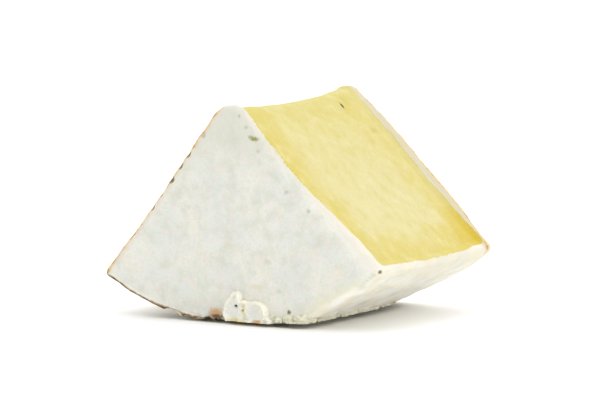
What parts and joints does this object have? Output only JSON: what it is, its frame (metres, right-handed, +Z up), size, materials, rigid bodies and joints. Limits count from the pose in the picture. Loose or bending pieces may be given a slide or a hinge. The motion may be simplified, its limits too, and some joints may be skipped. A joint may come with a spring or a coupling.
{
  "type": "wedge of cured sheep cheese",
  "caption": "Quarter wedge of a small white-rinded sheep cheese, lying on its curved rind, with one cut face of pale yellow paste turned up.",
  "frame": {"origin": "under the middle of the wedge's box, on the surface that the wedge rests on", "axes": "+Z up; +Y along the wheel's axis, from the shown flat rind face to the other one; +X to the right, across the cut face that is turned up"},
  "size_m": [0.1222, 0.0978, 0.0864],
  "materials": {
    "rind": "dry, powdery white bloom on the rind; the cut paste is a moist pale yellow"
  },
  "bodies": {
    "root": {"cheese_wedge": "rind"}
  },
  "joints": []
}
